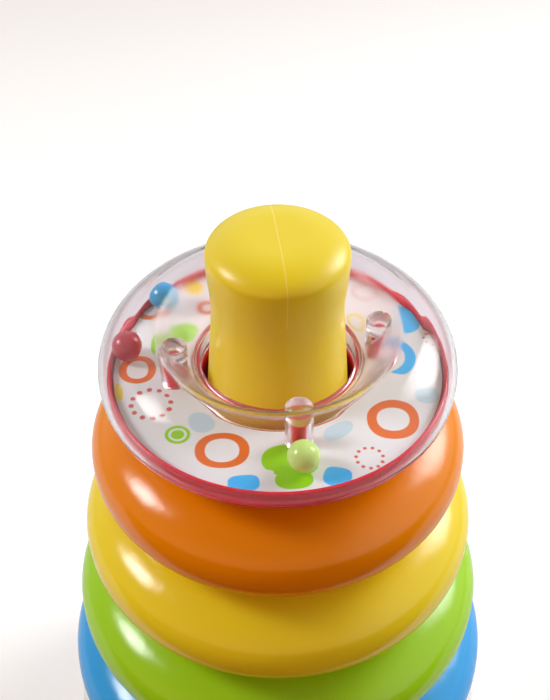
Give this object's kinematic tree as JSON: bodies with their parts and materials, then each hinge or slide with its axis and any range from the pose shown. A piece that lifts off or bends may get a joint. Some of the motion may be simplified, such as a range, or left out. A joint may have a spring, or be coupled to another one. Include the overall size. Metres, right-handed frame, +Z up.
{
  "type": "stacking ring toy",
  "caption": "Toddler's stacking toy: a rounded base with a tapered post, hollow rings that lift off, and a rattle ring with loose beads under a clear dome.",
  "frame": {"origin": "centre of the base's flat underside, on the post's axis", "axes": "+Z up along the post; -Y is the front, the side with the green bead"},
  "size_m": [0.1336, 0.1336, 0.2144],
  "materials": {
    "base_white": "white moulded plastic, satin gloss",
    "post_yellow": "yellow blow-moulded plastic, soft gloss",
    "blue_plastic": "blue blow-moulded plastic, glossy",
    "green_plastic": "green blow-moulded plastic, glossy",
    "yellow_plastic": "yellow blow-moulded plastic, glossy",
    "orange_plastic": "orange blow-moulded plastic, glossy",
    "tray_red": "red moulded plastic, glossy",
    "label_print": null,
    "cover_clear": "clear moulded plastic, polished",
    "bead_red": "red moulded plastic",
    "bead_blue": "blue moulded plastic",
    "bead_green": "light green moulded plastic"
  },
  "bodies": {
    "base": {"rocker_base": "base_white", "post": "post_yellow"},
    "blue": {"blue_ring": "blue_plastic"},
    "green": {"green_ring": "green_plastic"},
    "yellow": {"yellow_ring": "yellow_plastic"},
    "orange": {"orange_ring": "orange_plastic"},
    "rattle": {"rattle_tray": "tray_red", "rattle_label": "label_print", "rattle_cover": "cover_clear"},
    "red_bead": {"bead_red": "bead_red"},
    "blue_bead": {"bead_blue": "bead_blue"},
    "green_bead": {"bead_green": "bead_green"}
  },
  "joints": [
    {"name": "blue_lift", "type": "slide", "parent": "base", "child": "blue", "axis": [0, 0, 1], "range_m": [0, 0.18]},
    {"name": "green_lift", "type": "slide", "parent": "blue", "child": "green", "axis": [0, 0, 1], "range_m": [0, 0.15]},
    {"name": "yellow_lift", "type": "slide", "parent": "green", "child": "yellow", "axis": [0, 0, 1], "range_m": [0, 0.12]},
    {"name": "orange_lift", "type": "slide", "parent": "yellow", "child": "orange", "axis": [0, 0, 1], "range_m": [0, 0.09]},
    {"name": "rattle_lift", "type": "slide", "parent": "orange", "child": "rattle", "axis": [0, 0, 1], "range_m": [0, 0.06]},
    {"name": "red_bead_path", "type": "hinge", "parent": "rattle", "child": "red_bead", "pos_m": [0, 0, 0.1749], "axis": [0, 0, 1], "range_deg": [-10, 45]},
    {"name": "blue_bead_path", "type": "hinge", "parent": "rattle", "child": "blue_bead", "pos_m": [0, 0, 0.1749], "axis": [0, 0, 1], "range_deg": [-100, 10]},
    {"name": "green_bead_path", "type": "hinge", "parent": "rattle", "child": "green_bead", "pos_m": [0, 0, 0.1749], "axis": [0, 0, 1], "range_deg": [-45, 100]}
  ]
}
